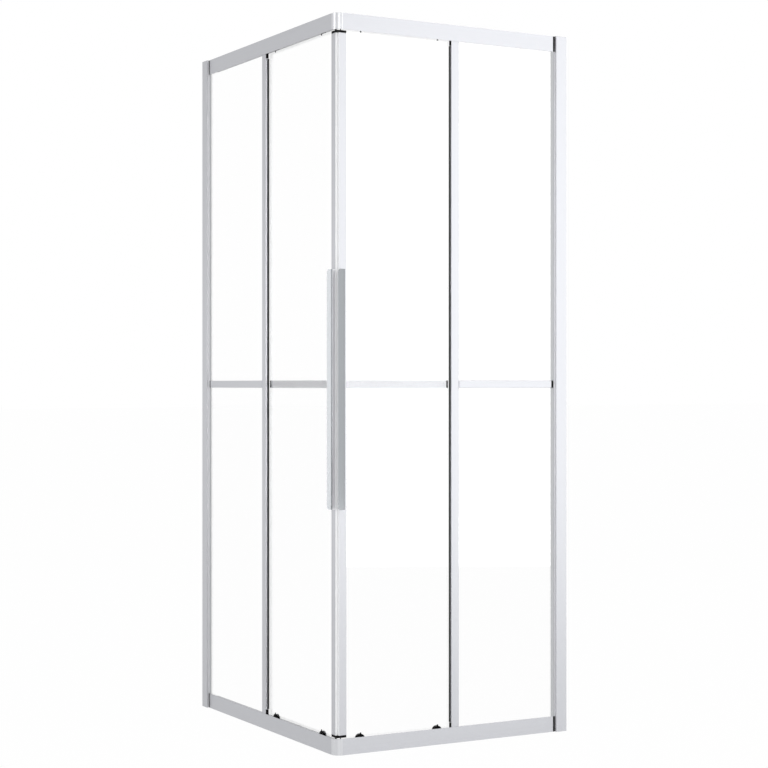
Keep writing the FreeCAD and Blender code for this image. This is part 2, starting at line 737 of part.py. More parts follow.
def handle_screws(side):
    """The flat-head screws that hold the handle."""
    screws = []
    for shank in handle_screw_rods(side):
        face = V(shank.CenterOfMass.x, CLOSING_STILE_OFFSET - HANDLE_WALL, shank.CenterOfMass.z)
        head = rod(HANDLE_SCREW_HEAD_RADIUS, face, HANDLE_SCREW_HEAD_HEIGHT, -ALONG_N)
        screws.append(joined(shank, head))
    return screws


# Rollers

HOUSING_Z = (DOOR_GLASS_Z[0] + GLASS_TO_HOUSING, HOUSING_TOP_Z)
CLAMP_LOW_Z = HOUSING_Z[0] + CLAMP_SCREW_RISE_HEIGHT
BRACKET_BOTTOM_Z = HEIGHT - BRACKET_BOTTOM_DROP
CLAMP_HIGH_Z = BRACKET_BOTTOM_Z + CLAMP_SCREW_RISE_HEIGHT
PLATE_N = (DOOR_GLASS[0] - PLATE_THICKNESS, DOOR_GLASS[0])
HOUSING_N = (DOOR_GLASS[1], CARRIER_N)
TOP_WHEEL_Z = HEIGHT - WHEEL_Z


def wheel(s, z):
    """A grooved wheel about an axle across the side."""
    body = joined(
        rod(WHEEL_RADIUS, V(s, WHEEL_N[0], z), WHEEL_FLANGE_WIDTH, ALONG_N),
        rod(WHEEL_ROOT_RADIUS, V(s, WHEEL_N[0], z), WHEEL_N[1] - WHEEL_N[0], ALONG_N),
        rod(WHEEL_RADIUS, V(s, GROOVE_N[1], z), WHEEL_FLANGE_WIDTH, ALONG_N),
    )
    bore_length = WHEEL_N[1] - WHEEL_N[0] + 2 * OVERRUN
    bore = rod(WHEEL_BORE_RADIUS, V(s, WHEEL_N[0] - OVERRUN, z), bore_length, ALONG_N)
    return body.cut(bore)


def axle(s, z):
    """An axle with a head that keeps the wheel on it."""
    start = CARRIER_N - PLAY
    head_n = WHEEL_N[1] + RUN_GAP
    pin = rod(AXLE_RADIUS, V(s, start, z), head_n + AXLE_HEAD_LENGTH - start, ALONG_N)
    head = rod(AXLE_HEAD_RADIUS, V(s, head_n, z), AXLE_HEAD_LENGTH, ALONG_N)
    return joined(pin, head)


def clamp_screw_points(side):
    """The (s, z) places of all the clamp screws of a door."""
    points = []
    for s in roller_places(side).values():
        for z in (CLAMP_LOW_Z, CLAMP_HIGH_Z):
            points.append((s - CLAMP_SCREW_SPACING / 2, z))
            points.append((s + CLAMP_SCREW_SPACING / 2, z))
    return points


def clamp_rods(side, radius):
    """Round bars through the inner block and the pane, into the outer plate."""
    start = PLATE_N[0] + PLATE_THICKNESS / 2
    rods = []
    for s, z in clamp_screw_points(side):
        rods.append(rod(radius, V(s, start, z), HOUSING_N[1] - start, ALONG_N))
    return rods


def clamp_screws(side):
    """The screws that clamp the rollers' blocks and plates on the pane."""
    screws = []
    for shank, (s, z) in zip(clamp_rods(side, CLAMP_SCREW_RADIUS), clamp_screw_points(side)):
        head = rod(CLAMP_SCREW_HEAD_RADIUS, V(s, HOUSING_N[1], z), CLAMP_SCREW_HEAD_HEIGHT, ALONG_N)
        screws.append(joined(shank, head))
    return screws


def dome(s, n, z, radius):
    """A block with a round top, between two heights."""
    centre_z = z[1] - radius
    body = block((s - radius, s + radius), n, (z[0], max(centre_z, z[0] + PLAY)))
    crown = rod(radius, V(s, n[0], centre_z), n[1] - n[0], ALONG_N)
    below = block((s - 2 * radius, s + 2 * radius), n, (z[0] - 2 * radius, z[0]))
    return joined(body, crown.cut(below))


def bottom_housings(side):
    """The bottom rollers' inner blocks and outer plates, grooved for the button's stem and nib."""
    pieces = []
    rods = clamp_rods(side, CLAMP_SCREW_RADIUS)
    for s in roller_places(side).values():
        inner = dome(s, HOUSING_N, HOUSING_Z, HOUSING_RADIUS)
        plate = dome(s, PLATE_N, HOUSING_Z, HOUSING_RADIUS)
        half = BUTTON_WIDTH / 2 + PLAY
        groove = block((s - half, s + half), (PLATE_N[1] - PLATE_GROOVE, PLATE_N[1]), (0, HEIGHT))
        notch = block((s - half, s + half), PLATE_N, (HOUSING_TOP_Z - BUTTON_TRAVEL_LENGTH - PLAY, HEIGHT))
        pieces.append(inner.cut(rods))
        pieces.append(plate.cut([groove, notch] + rods))
    return pieces


def release_button(s):
    """The release button: a nib above the housing, a stem, a bridge under the pane and the wheel's arm."""
    stem_n = (PLATE_N[1] - PLATE_GROOVE + PLAY, PLATE_N[1] - PLAY)
    bridge_top_z = DOOR_GLASS_Z[0] - BUTTON_CROSS_GAP
    bridge_z = (bridge_top_z - BUTTON_CROSS_HEIGHT, bridge_top_z)
    half = BUTTON_WIDTH / 2
    nib_z = (HOUSING_TOP_Z, HOUSING_TOP_Z + BUTTON_NIB_HEIGHT)
    nib = block((s - half, s + half), (PLATE_N[0], stem_n[1]), nib_z)
    stem = block((s - half, s + half), stem_n, (bridge_z[0], nib_z[1]))
    arm_half = BUTTON_ARM_WIDTH / 2
    bridge = block((s - arm_half, s + arm_half), (stem_n[0], CARRIER_N), bridge_z)
    arm_n = (CARRIER_N - BUTTON_ARM_THICKNESS, CARRIER_N)
    arm = block((s - arm_half, s + arm_half), arm_n, (WHEEL_Z - AXLE_WEB_THICKNESS, bridge_z[1]))
    return joined(stem, nib, bridge, arm, axle(s, WHEEL_Z))


def top_brackets(side):
    """The top rollers' blocks with their axles, and their outer plates with a small tab below."""
    pieces = []
    rods = clamp_rods(side, CLAMP_SCREW_RADIUS)
    half = BRACKET_WIDTH / 2
    tab_half = BUTTON_WIDTH / 2
    tab_z = (BRACKET_BOTTOM_Z - BRACKET_TAB_LENGTH, BRACKET_BOTTOM_Z)
    for s in roller_places(side).values():
        across = (s - half, s + half)
        reach = block(across, HOUSING_N, (BRACKET_BOTTOM_Z, TOP_WHEEL_Z + AXLE_WEB_THICKNESS))
        plate = block(across, PLATE_N, (BRACKET_BOTTOM_Z, DOOR_GLASS_Z[1]))
        tab = block((s - tab_half, s + tab_half), PLATE_N, tab_z)
        pieces.append(joined(reach, axle(s, TOP_WHEEL_Z)).cut(rods))
        pieces.append(joined(plate, tab).cut(rods))
    return pieces


# Write every node

def small_frame_pieces(side):
    """The frame's small pieces on one side, by node."""
    return {
        "post_screws": post_screws(side),
        "post_caps": [post_cap(side)],
        "fixed_crossbar_caps": [fixed_crossbar_cap(side)],
        "track_stops": track_stops(side),
        "glazing_gaskets": glazing_gaskets(side),
        "rail_end_caps": [rail_end_cap(side), at_top(rail_end_cap(side))],
        "stile_feet": [stile_foot(side), at_top(stile_foot(side))],
        "corner_screws": [corner_screw(), at_top(corner_screw())],
    }


def write_frame():
    """Save the frame's nodes. Like small pieces of both sides share a node."""
    save("corner_bottom", [corner_connector()])
    save("corner_top", [at_top(corner_connector())])
    groups = {}
    for side in SIDES:
        save("bottom_rail_" + side, [placed(rail(side), side)])
        save("top_rail_" + side, [placed(at_top(rail(side)), side)])
        save("wall_post_" + side, [placed(wall_post(side), side)])
        save("adjusting_profile_" + side, [placed(adjusting_profile(side), side)])
        save("fixed_glass_" + side, [placed(fixed_glass(side), side)])
        save("fixed_stile_" + side, [placed(fixed_stile(side), side)])
        save("stile_seal_" + side, [placed(stile_seal(side), side)])
        save("fixed_crossbar_" + side, [placed(fixed_crossbar(side), side)])
        for node, pieces in small_frame_pieces(side).items():
            groups.setdefault(node, []).extend(placed(piece, side) for piece in pieces)
    for node, pieces in groups.items():
        save(node, pieces)


def write_door(side):
    """Save the nodes of one door, its wheels and its release buttons."""
    save("door_glass_" + side, [placed(door_glass(side), side)])
    save("closing_stile_" + side, [placed(closing_stile(side), side)])
    save("magnet_seal_" + side, [placed(magnet_seal(), side)])
    save("door_crossbar_" + side, [placed(door_crossbar(side), side)])
    save("door_caps_" + side, [placed(cap, side) for cap in door_caps(side)])
    save("rear_profile_" + side, [placed(rear_profile(side), side)])
    save("handle_" + side, [placed(handle(side), side)])
    save("handle_screws_" + side, [placed(screw, side) for screw in handle_screws(side)])
    save("bottom_housings_" + side, [placed(piece, side) for piece in bottom_housings(side)])
    save("top_brackets_" + side, [placed(piece, side) for piece in top_brackets(side)])
    save("clamp_screws_" + side, [placed(screw, side) for screw in clamp_screws(side)])
    for name, s in roller_places(side).items():
        save("top_wheel_" + side + "_" + name, [placed(wheel(s, TOP_WHEEL_Z), side)])
        save("bottom_wheel_" + side + "_" + name, [placed(wheel(s, WHEEL_Z), side)])
        save("release_button_" + side + "_" + name, [placed(release_button(s), side)])


write_frame()
for door_side in SIDES:
    write_door(door_side)
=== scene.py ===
import json
import math

import bpy
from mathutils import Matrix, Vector

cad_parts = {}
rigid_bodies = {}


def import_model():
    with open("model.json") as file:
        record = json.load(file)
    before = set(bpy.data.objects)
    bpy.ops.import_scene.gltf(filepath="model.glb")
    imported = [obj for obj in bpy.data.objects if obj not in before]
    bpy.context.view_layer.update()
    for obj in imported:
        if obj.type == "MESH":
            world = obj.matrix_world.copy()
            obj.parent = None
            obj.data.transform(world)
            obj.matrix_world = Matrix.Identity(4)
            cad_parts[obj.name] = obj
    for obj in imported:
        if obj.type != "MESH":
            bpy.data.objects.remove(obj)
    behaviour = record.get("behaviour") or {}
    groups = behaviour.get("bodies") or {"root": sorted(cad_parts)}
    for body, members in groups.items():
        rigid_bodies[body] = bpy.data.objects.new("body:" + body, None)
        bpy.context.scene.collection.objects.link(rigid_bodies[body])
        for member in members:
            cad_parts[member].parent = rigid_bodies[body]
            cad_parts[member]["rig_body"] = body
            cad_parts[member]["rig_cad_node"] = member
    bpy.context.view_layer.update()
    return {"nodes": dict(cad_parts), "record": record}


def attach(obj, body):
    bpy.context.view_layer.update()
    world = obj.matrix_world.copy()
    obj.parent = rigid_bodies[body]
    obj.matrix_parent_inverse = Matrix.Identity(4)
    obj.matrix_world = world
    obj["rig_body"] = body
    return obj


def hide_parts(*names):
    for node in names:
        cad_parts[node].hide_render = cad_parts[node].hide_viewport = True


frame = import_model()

bl_info = {
    "name": "Corner shower enclosure",
    "version": (1, 0, 0),
    "blender": (4, 5, 0),
    "location": "View3D > Sidebar > Enclosure",
    "description": "Finishes a corner shower enclosure around its construction model",
    "category": "Object",
}

# The construction model's facts: each node's body
BODY_OF = {node: body for body, nodes in frame["record"]["behaviour"]["bodies"].items() for node in nodes}
SIDES = ("left", "right")
ENDS = ("front", "rear")

# Mesh handling
MM = 0.001
MERGE_DISTANCE = 0.002 * MM
FLAT_ANGLE = math.radians(0.5)
SHARP_ANGLE = math.radians(28)
SMOOTH_ANGLE = math.radians(35)
ROUND_PROFILE = 0.5

# Steps of the rounded edges: usual pieces, the handles' finer edges and the panes' flat ground edges
EDGE_STEPS = 2
HANDLE_EDGE_STEPS = 3
GROUND_EDGE_STEPS = 1

# Film of air all round each pane, so that what touches the glass doesn't share its surface
GLASS_AIR = 0.05 * MM

# Camera, fitted to the photograph's two vanishing points
CAMERA_PLACE = (-2.37240, -4.25420, 0.900)
CAMERA_TURN = (math.radians(90), 0, math.radians(-28.907))
CAMERA_LENS = 84.704
CAMERA_SENSOR = 36.0
CAMERA_SHIFT_X = 0.01816


def linear(code):
    """A hex sRGB colour as linear red, green, blue and alpha, by the curve of the sRGB standard."""
    values = [int(code[i:i + 2], 16) / 255 for i in (1, 3, 5)]
    return tuple(v / 12.92 if v <= 0.04045 else ((v + 0.055) / 1.055) ** 2.4 for v in values) + (1.0,)


class EnclosureSizes(bpy.types.PropertyGroup):
    """Edge radii that a user may change."""

    profile_edge: bpy.props.FloatProperty(
        name="Profile edge", description="Edge radius of the extruded profiles",
        default=0.35 * MM, min=0.05 * MM, max=0.6 * MM, precision=5, unit="LENGTH")
    moulded_edge: bpy.props.FloatProperty(
        name="Moulded edge", description="Edge radius of the moulded plastic pieces",
        default=0.4 * MM, min=0.05 * MM, max=0.6 * MM, precision=5, unit="LENGTH")
    glass_edge: bpy.props.FloatProperty(
        name="Glass edge", description="Width of the ground edge of the panes",
        default=0.6 * MM, min=0.1 * MM, max=1.2 * MM, precision=5, unit="LENGTH")
    thin_edge: bpy.props.FloatProperty(
        name="Thin edge", description="Edge radius of seals, clips and screws",
        default=0.12 * MM, min=0.02 * MM, max=0.2 * MM, precision=5, unit="LENGTH")


class EnclosureColours(bpy.types.PropertyGroup):
    """Finish colours that a user may change."""

    aluminium: bpy.props.FloatVectorProperty(
        name="Aluminium", description="Satin anodised profiles",
        subtype="COLOR", size=4, min=0, max=1, default=linear("#BABBBF"))
    # This pale colour is also painted light: the handles' inner faces take it, lighter than the handle
    # finish, against the shade in the hook's recess.
    pale: bpy.props.FloatVectorProperty(
        name="Pale aluminium", description="Adjusting profiles and the handles' inner faces",
        subtype="COLOR", size=4, min=0, max=1, default=linear("#D6D6D9"))
    handle: bpy.props.FloatVectorProperty(
        name="Handle", description="Bright anodised handles",
        subtype="COLOR", size=4, min=0, max=1, default=linear("#797C7F"))
    connector: bpy.props.FloatVectorProperty(
        name="Connector", description="Polished corner connectors",
        subtype="COLOR", size=4, min=0, max=1, default=linear("#CCCDD0"))
    glass: bpy.props.FloatVectorProperty(
        name="Glass", description="Tint of the toughened panes",
        subtype="COLOR", size=4, min=0, max=1, default=linear("#FEFEFE"))
    plastic: bpy.props.FloatVectorProperty(
        name="Plastic", description="Black moulded fittings",
        subtype="COLOR", size=4, min=0, max=1, default=linear("#040405"))
    rubber: bpy.props.FloatVectorProperty(
        name="Rubber", description="Black seals and stops",
        subtype="COLOR", size=4, min=0, max=1, default=linear("#141416"))
    grey_seal: bpy.props.FloatVectorProperty(
        name="Grey seal", description="Grey gaskets and clips",
        subtype="COLOR", size=4, min=0, max=1, default=linear("#B4B6B8"))
    magnet: bpy.props.FloatVectorProperty(
        name="Magnet strip", description="Pale magnetic strips of the closing edges",
        subtype="COLOR", size=4, min=0, max=1, default=linear("#E6E7E8"))
    acetal: bpy.props.FloatVectorProperty(
        name="Acetal", description="Wheels of the rollers",
        subtype="COLOR", size=4, min=0, max=1, default=linear("#DAD9D3"))
    steel: bpy.props.FloatVectorProperty(
        name="Steel", description="Stainless screws",
        subtype="COLOR", size=4, min=0, max=1, default=linear("#BFC0C2"))


# Node helpers

def add(material, kind, settings=None, links=None):
    """Adds one node to a material, with values by input name or attribute, and links by input name."""
    node = material.node_tree.nodes.new(kind)
    for key, value in (settings or {}).items():
        if key in node.inputs:
            node.inputs[key].default_value = value
        else:
            setattr(node, key, value)
    for key, output in (links or {}).items():
        material.node_tree.links.new(output, node.inputs[key])
    return node


def new_material(name):
    """An empty node material."""
    material = bpy.data.materials.new(name)
    material.use_nodes = True
    material.node_tree.nodes.clear()
    return material


def close(material, shader, **extra):
    """Connects a shader to the material's output."""
    add(material, "ShaderNodeOutputMaterial", links={"Surface": shader.outputs[0], **extra})
    return material


# Materials

# Drawing lines of an extrusion die, drawn coarser than the real 0.2 mm so that they show
DIE_LINE_SPACING = 1.2 * MM
DIE_LINE_STRETCH_SHARE = 0.004
DIE_LINE_DEPTH = 0.05 * MM
SATIN_GRAIN = 0.6 * MM
SATIN_ROUGHNESS_DROP = 0.05
SATIN_ROUGHNESS_RISE = 0.07
AXES = ("x", "y", "z")
UPRIGHT = AXES.index("z")


def anodised(name, colour, along, roughness, line_bump, metal_share):
    """Anodised aluminium: a milky oxide layer over metal, with faint lines along the extrusion."""
    material = new_material(name)
    place = add(material, "ShaderNodeTexCoord")
    stretch = [1 / DIE_LINE_SPACING] * 3
    stretch[along] *= DIE_LINE_STRETCH_SHARE
    lined = add(material, "ShaderNodeMapping", {"Scale": stretch}, {"Vector": place.outputs["Object"]})
    lines = add(material, "ShaderNodeTexNoise", {"Scale": 1.0, "Detail": 3.0, "Roughness": 0.6},
                {"Vector": lined.outputs[0]})
    grain = add(material, "ShaderNodeTexNoise", {"Scale": 1 / SATIN_GRAIN, "Detail": 2.0},
                {"Vector": place.outputs["Object"]})
    tone = add(material, "ShaderNodeMapRange", {"To Min": 0.96, "To Max": 1.04},
               {"Value": lines.outputs["Fac"]})
    shade = add(material, "ShaderNodeHueSaturation", {"Color": colour}, {"Value": tone.outputs[0]})
    rough = add(material, "ShaderNodeMapRange",
                {"To Min": roughness - SATIN_ROUGHNESS_DROP, "To Max": roughness + SATIN_ROUGHNESS_RISE},
                {"Value": grain.outputs["Fac"]})
    bump = add(material, "ShaderNodeBump", {"Strength": line_bump, "Distance": DIE_LINE_DEPTH},
               {"Height": lines.outputs["Fac"]})
    metal = add(material, "ShaderNodeBsdfPrincipled", {"Metallic": metal_share},
                {"Base Color": shade.outputs[0], "Roughness": rough.outputs[0], "Normal": bump.outputs[0]})
    return close(material, metal)


# Waves that a polishing wheel leaves
POLISHING_WAVE = 8 * MM
POLISHING_WAVE_DEPTH = 0.05 * MM


def polished(name, colour):
    """Die-cast zinc, polished and plated: smooth, with slight waves."""
    material = new_material(name)
    place = add(material, "ShaderNodeTexCoord")
    waves = add(material, "ShaderNodeTexNoise", {"Scale": 1 / POLISHING_WAVE, "Detail": 1.0},
                {"Vector": place.outputs["Object"]})
    rough = add(material, "ShaderNodeMapRange", {"To Min": 0.26, "To Max": 0.32},
                {"Value": waves.outputs["Fac"]})
    bump = add(material, "ShaderNodeBump", {"Strength": 0.15, "Distance": POLISHING_WAVE_DEPTH},
               {"Height": waves.outputs["Fac"]})
    metal = add(material, "ShaderNodeBsdfPrincipled", {"Base Color": colour, "Metallic": 1.0},
                {"Roughness": rough.outputs[0], "Normal": bump.outputs[0]})
    return close(material, metal)


# Spark-eroded texture of a moulding tool, about VDI 27, drawn at twice its real grain
MOULD_GRAIN = 0.35 * MM
MOULD_GRAIN_DEPTH = 0.04 * MM
MOULD_ROUGHNESS_SPREAD = 0.06
CLOUD_TO_GRAIN = 60


def moulded(name, colour, roughness, grain_size, grain_bump):
    """Moulded ABS or acetal: an even colour under a fine eroded texture."""
    material = new_material(name)
    place = add(material, "ShaderNodeTexCoord")
    grain = add(material, "ShaderNodeTexNoise", {"Scale": 1 / grain_size, "Detail": 3.0},
                {"Vector": place.outputs["Object"]})
    cloud = add(material, "ShaderNodeTexNoise", {"Scale": 1 / (CLOUD_TO_GRAIN * grain_size), "Detail": 2.0},
                {"Vector": place.outputs["Object"]})
    tone = add(material, "ShaderNodeMapRange", {"To Min": 0.9, "To Max": 1.1},
               {"Value": cloud.outputs["Fac"]})
    shade = add(material, "ShaderNodeHueSaturation", {"Color": colour}, {"Value": tone.outputs[0]})
    rough = add(material, "ShaderNodeMapRange",
                {"To Min": roughness - MOULD_ROUGHNESS_SPREAD, "To Max": roughness + MOULD_ROUGHNESS_SPREAD},
                {"Value": grain.outputs["Fac"]})
    bump = add(material, "ShaderNodeBump", {"Strength": grain_bump, "Distance": MOULD_GRAIN_DEPTH},
               {"Height": grain.outputs["Fac"]})
    plastic = add(material, "ShaderNodeBsdfPrincipled", {"IOR": 1.52, "Specular IOR Level": 0.07},
                  {"Base Color": shade.outputs[0], "Roughness": rough.outputs[0], "Normal": bump.outputs[0]})
    return close(material, plastic)


# Fine marks in the skin of an extruded seal
RUBBER_MARK = 0.8 * MM


def rubber(name, colour):
    """Extruded rubber: matt, with a soft bloom at grazing angles and fine marks."""
    material = new_material(name)
    place = add(material, "ShaderNodeTexCoord")
    marks = add(material, "ShaderNodeTexNoise", {"Scale": 1 / RUBBER_MARK, "Detail": 2.0},
                {"Vector": place.outputs["Object"]})
    tone = add(material, "ShaderNodeMapRange", {"To Min": 0.92, "To Max": 1.08},
               {"Value": marks.outputs["Fac"]})
    shade = add(material, "ShaderNodeHueSaturation", {"Color": colour}, {"Value": tone.outputs[0]})
    rough = add(material, "ShaderNodeMapRange", {"To Min": 0.55, "To Max": 0.7},
                {"Value": marks.outputs["Fac"]})
    skin = add(material, "ShaderNodeBsdfPrincipled",
               {"IOR": 1.5, "Sheen Weight": 0.15, "Sheen Roughness": 0.5},
               {"Base Color": shade.outputs[0], "Roughness": rough.outputs[0]})
    return close(material, skin)


# Waves that the rollers of the toughening oven leave
GLASS_WAVES_PER_METRE = 4.0
GLASS_WAVE_DEPTH = 0.2 * MM


def toughened_glass(name, colour):
    """Toughened float glass: clear and almost without colour, with faint waves."""
    material = new_material(name)
    place = add(material, "ShaderNodeTexCoord")
    waves = add(material, "ShaderNodeTexNoise", {"Scale": GLASS_WAVES_PER_METRE, "Detail": 1.0},
                {"Vector": place.outputs["Object"]})
    bump = add(material, "ShaderNodeBump", {"Strength": 0.02, "Distance": GLASS_WAVE_DEPTH},
               {"Height": waves.outputs["Fac"]})
    glass = add(material, "ShaderNodeBsdfPrincipled",
                {"Base Color": colour, "Roughness": 0.0, "IOR": 1.52, "Transmission Weight": 1.0},
                {"Normal": bump.outputs[0]})
    return close(material, glass)


# Grain that turning or cold heading leaves on a screw
TURNED_GRAIN = 0.3 * MM


def stainless(name, colour):
    """Bright stainless steel: turned or cold headed, with a fine turned grain."""
    material = new_material(name)
    place = add(material, "ShaderNodeTexCoord")
    grain = add(material, "ShaderNodeTexNoise", {"Scale": 1 / TURNED_GRAIN, "Detail": 2.0},
                {"Vector": place.outputs["Object"]})
    rough = add(material, "ShaderNodeMapRange", {"To Min": 0.2, "To Max": 0.34},
                {"Value": grain.outputs["Fac"]})
    metal = add(material, "ShaderNodeBsdfPrincipled", {"Base Color": colour, "Metallic": 1.0},
                {"Roughness": rough.outputs[0]})
    return close(material, metal)


MATERIALS = {}


def make_materials(colours):
    """All finishes, by name."""
    for axis, label in enumerate(AXES):
        MATERIALS["aluminium_" + label] = anodised(
            "satin_anodised_aluminium_" + label, colours.aluminium, axis,
            roughness=0.4, line_bump=0.25, metal_share=0.75)
    MATERIALS["handle"] = anodised(
        "bright_anodised_aluminium", colours.handle, UPRIGHT, roughness=0.1, line_bump=0.04, metal_share=0.4)
    # Pale aluminium for the adjusting profiles; on the handles the same colour is painted light that lightens
    # their shaded inner faces.
    MATERIALS["pale_aluminium"] = anodised(
        "pale_aluminium_and_handle_painted_light", colours.pale, UPRIGHT, roughness=0.4, line_bump=0.15, metal_share=0.5)
    MATERIALS["connector"] = polished("polished_die_cast_zinc", colours.connector)
    MATERIALS["glass"] = toughened_glass("toughened_float_glass", colours.glass)
    MATERIALS["plastic"] = moulded(
        "moulded_black_abs", colours.plastic, roughness=0.42, grain_size=MOULD_GRAIN, grain_bump=0.35)
    MATERIALS["acetal"] = moulded(
        "turned_white_acetal", colours.acetal, roughness=0.35, grain_size=MOULD_GRAIN, grain_bump=0.1)
    MATERIALS["rubber"] = rubber("extruded_black_rubber", colours.rubber)
    MATERIALS["grey_seal"] = rubber("extruded_grey_seal", colours.grey_seal)
    MATERIALS["magnet"] = rubber("extruded_pale_magnet_strip", colours.magnet)
    MATERIALS["steel"] = stainless("bright_stainless_steel", colours.steel)


# Mesh helpers

def deselect():
    """Nothing stays selected."""
    bpy.ops.object.select_all(action="DESELECT")


def choose(piece):
    """Only this object is selected and active."""
    deselect()
    piece.select_set(True)
    bpy.context.view_layer.objects.active = piece


def finished_copy(node, name, edge, steps=EDGE_STEPS):
    """A copy of a node with merged points, whole faces and rounded edges."""
    choose(frame["nodes"][node])
    bpy.ops.object.duplicate()
    piece = bpy.context.active_object
    bpy.ops.object.parent_clear(type="CLEAR_KEEP_TRANSFORM")
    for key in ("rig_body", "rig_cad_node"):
        del piece[key]
    piece.name = name
    piece.data.name = name
    piece.data.materials.clear()
    bpy.ops.object.mode_set(mode="EDIT")
    bpy.ops.mesh.select_all(action="SELECT")
    bpy.ops.mesh.customdata_custom_splitnormals_clear()
    bpy.ops.mesh.remove_doubles(threshold=MERGE_DISTANCE)
    bpy.ops.mesh.dissolve_limited(angle_limit=FLAT_ANGLE)
    bpy.ops.mesh.select_all(action="DESELECT")
    bpy.ops.mesh.select_mode(type="EDGE")
    bpy.ops.mesh.edges_select_sharp(sharpness=SHARP_ANGLE)
    bpy.ops.mesh.bevel(offset=edge, segments=steps, profile=ROUND_PROFILE, clamp_overlap=True)
    bpy.ops.object.mode_set(mode="OBJECT")
    bpy.ops.object.shade_smooth_by_angle(angle=SMOOTH_ANGLE)
    level_faces(piece)
    return piece


def level_faces(piece):
    """Large flat faces keep their own normal, so that only the rounded edges shade."""
    bpy.ops.object.modifier_add(type="WEIGHTED_NORMAL")
    modifier = piece.modifiers[-1]
    modifier.keep_sharp = True
    bpy.ops.object.modifier_apply(modifier=modifier.name)


# Hexagon sockets: their reach and depth as shares of the head's radius, and how alike the heads' faces are
SOCKET_REACH_SHARE = 0.5
SOCKET_DEPTH_SHARE = 0.33
LIKE_FACE_SHARE = 0.9
SOCKET_SIDES = 6


def cut_sockets(piece):
    """Sinks a hexagon socket into every screw head of a piece, found as its largest faces."""
    largest = max(face.area for face in piece.data.polygons)
    radius = math.sqrt(largest / math.pi)
    heads = [face for face in piece.data.polygons if face.area > LIKE_FACE_SHARE * largest]
    places = [(face.center.copy(), face.normal.to_track_quat("Z", "Y").to_euler()) for face in heads]
    cutters = []
    for centre, turn in places:
        bpy.ops.mesh.primitive_cylinder_add(
            vertices=SOCKET_SIDES, radius=SOCKET_REACH_SHARE * radius, depth=2 * SOCKET_DEPTH_SHARE * radius,
            location=centre, rotation=turn)
        cutters.append(bpy.context.active_object)
    choose(cutters[0])
    for cutter in cutters:
        cutter.select_set(True)
    bpy.ops.object.join()
    cutter = bpy.context.active_object
    choose(piece)
    bpy.ops.object.modifier_add(type="BOOLEAN")
    modifier = piece.modifiers[-1]
    modifier.object = cutter
    modifier.operation = "DIFFERENCE"
    modifier.solver = "EXACT"
    bpy.ops.object.modifier_apply(modifier=modifier.name)
    choose(cutter)
    bpy.ops.object.delete()
    choose(piece)
    bpy.ops.object.shade_smooth_by_angle(angle=SMOOTH_ANGLE)
    level_faces(piece)
    return piece


# Recess in both faces of a wheel, between its rim and its hub, and how squarely such a face lies
WHEEL_RIM = 1.2 * MM
WHEEL_RECESS_SLOPE = 0.25 * MM
WHEEL_RECESS_DEPTH = 0.5 * MM
END_FACING_SHARE = 0.99


def recess_ends(piece, axis):
    """Sinks the end faces of a wheel between its rim and its hub."""
    mesh = piece.data
    places = [vertex.co[axis] for vertex in mesh.vertices]
    low, high = min(places), max(places)
    for vertex in mesh.vertices:
        vertex.select = False
    for edge in mesh.edges:
        edge.select = False
    for face in mesh.polygons:
        at_end = min(abs(face.center[axis] - low), abs(face.center[axis] - high)) < MERGE_DISTANCE
        face.select = at_end and abs(face.normal[axis]) > END_FACING_SHARE
    bpy.ops.object.mode_set(mode="EDIT")
    bpy.ops.mesh.select_mode(type="FACE")
    bpy.ops.mesh.inset(thickness=WHEEL_RIM)
    bpy.ops.mesh.inset(thickness=WHEEL_RECESS_SLOPE, depth=-WHEEL_RECESS_DEPTH)
    bpy.ops.object.mode_set(mode="OBJECT")
    bpy.ops.object.shade_smooth_by_angle(angle=SMOOTH_ANGLE)
    level_faces(piece)
    return piece


def fit(piece, node, finish):
    """Gives a piece its finish and its body, in the place of a node."""
    piece.data.materials.clear()
    piece.data.materials.append(MATERIALS[finish])
    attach(piece, BODY_OF[node])
    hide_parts(node)
    return piece


def along(side):
    """The axis that a side's rails run along."""
    return "y" if side == "left" else "x"


def across(side):
    """The number of the axis that a side's wheels turn about."""
    return 0 if side == "left" else 1


# Operators

class ENCLOSURE_OT_profiles(bpy.types.Operator):
    """Rails, posts, profiles, stiles and crossbars"""

    bl_idname = "enclosure.profiles"
    bl_label = "Profiles"

    def execute(self, context):
        edge = context.scene.enclosure_sizes.profile_edge
        for side in SIDES:
            for node in ("bottom_rail", "top_rail", "fixed_crossbar", "door_crossbar"):
                full = node + "_" + side
                fit(finished_copy(full, full + "_profile", edge), full, "aluminium_" + along(side))
            for node in ("wall_post", "fixed_stile", "closing_stile"):
                full = node + "_" + side
                fit(finished_copy(full, full + "_profile", edge), full, "aluminium_z")
            full = "adjusting_profile_" + side
            fit(finished_copy(full, full + "_section", edge), full, "pale_aluminium")
        fit(finished_copy("post_caps", "post_caps_cover", edge), "post_caps", "aluminium_x")
        return {"FINISHED"}


class ENCLOSURE_OT_corners(bpy.types.Operator):
    """Rounded corner connectors at the free corner"""

    bl_idname = "enclosure.corners"
    bl_label = "Corner connectors"

    def execute(self, context):
        edge = context.scene.enclosure_sizes.profile_edge
        for node in ("corner_bottom", "corner_top"):
            fit(finished_copy(node, node + "_connector", edge), node, "connector")
        return {"FINISHED"}


# The lip's outer face and the bend beside it take the bright handle finish; the faces turned elsewhere, in
# the hook's recess, get the lighter pale colour as painted light against the shade there
LIP_FACING_SHARE = 0.12


